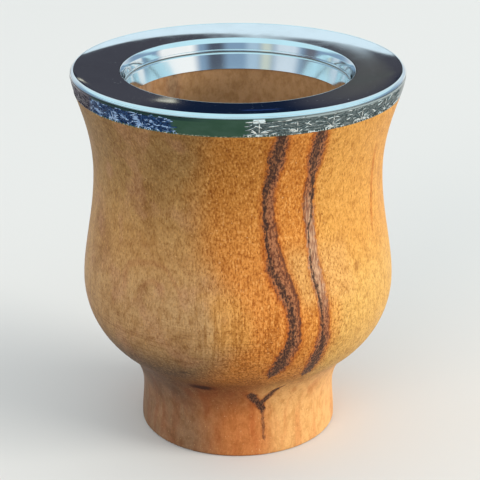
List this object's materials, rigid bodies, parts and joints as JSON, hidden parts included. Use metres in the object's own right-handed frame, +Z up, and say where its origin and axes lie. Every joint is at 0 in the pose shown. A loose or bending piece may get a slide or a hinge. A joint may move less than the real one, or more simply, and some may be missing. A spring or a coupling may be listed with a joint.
{
  "type": "mate cup",
  "caption": "Turned wooden mate cup with a foot, full belly and flared rim, fitted with a polished nickel silver ferrule with a chased band.",
  "frame": {"origin": "on the cup's axis, in the plane of the foot ring that it stands on", "axes": "+Z up along the axis of turning, towards the mouth; -Y towards the viewer of the picture"},
  "size_m": [0.08, 0.08, 0.0927],
  "materials": {
    "wood": "fine-grained hardwood, turned and oiled to a satin, with dark brown veins",
    "polished_nickel_silver": "nickel silver, a white copper, zinc and nickel alloy, mirror polished",
    "chased_nickel_silver": "nickel silver, chased with leaf scrolls, darkened in the ground and bright on the cuts",
    "adhesive": "set filler adhesive, dull"
  },
  "bodies": {
    "root": {"wood_cup": "wood", "engraved_band": "chased_nickel_silver", "edge_bead": "polished_nickel_silver", "brim_plate": "polished_nickel_silver", "mouth_lip": "polished_nickel_silver", "throat_collar": "polished_nickel_silver", "shoulder_adhesive": "adhesive", "throat_adhesive": "adhesive"}
  },
  "joints": []
}
